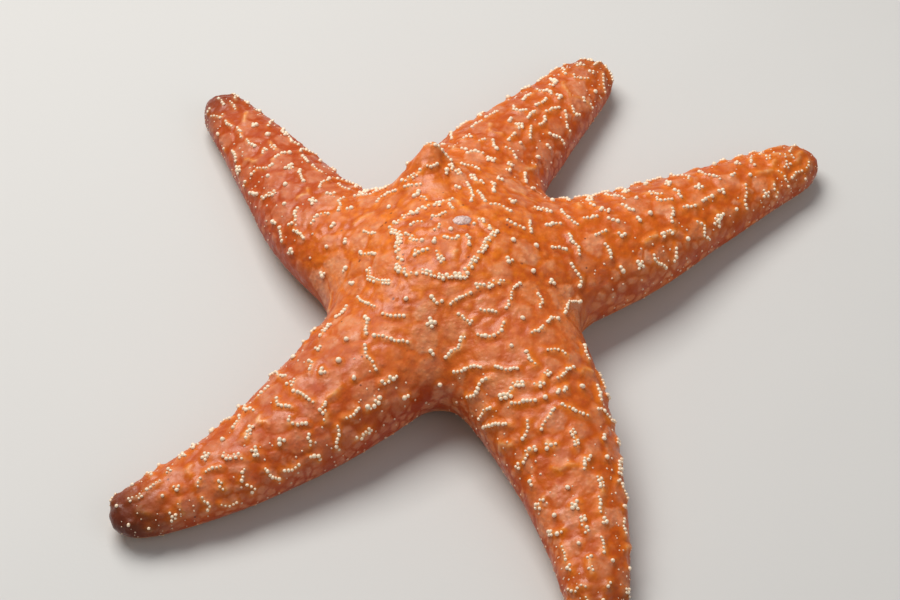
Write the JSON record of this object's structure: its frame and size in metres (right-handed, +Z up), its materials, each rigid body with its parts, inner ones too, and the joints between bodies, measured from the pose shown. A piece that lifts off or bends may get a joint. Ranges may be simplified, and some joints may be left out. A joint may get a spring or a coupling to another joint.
{
  "type": "ochre sea star",
  "caption": "Life-size still model of an orange ochre sea star lying on its underside, with stout tapering arms that bend a little round a domed disc.",
  "frame": {"origin": "on the floor, under the middle of the body's bounding box", "axes": "+Z up out of the disc's upper side, +X towards the right arm's side, +Y towards the fold at the disc's rear edge"},
  "size_m": [0.2057, 0.2077, 0.0375],
  "materials": {
    "skin": "wet, glossy orange skin with cream bead spines",
    "sieve_plate": "pale grooved lime plate, damp",
    "mouth": "soft folded membrane, moist",
    "tube_feet": "soft translucent suckered feet, moist"
  },
  "bodies": {
    "root": {"disc": "skin", "arm_right": "skin", "arm_rear_right": "skin", "arm_rear_left": "skin", "arm_left": "skin", "arm_front": "skin", "sieve_plate": "sieve_plate", "mouth": "mouth", "tube_feet_right": "tube_feet", "tube_feet_rear_right": "tube_feet", "tube_feet_rear_left": "tube_feet", "tube_feet_left": "tube_feet", "tube_feet_front": "tube_feet"}
  },
  "joints": []
}
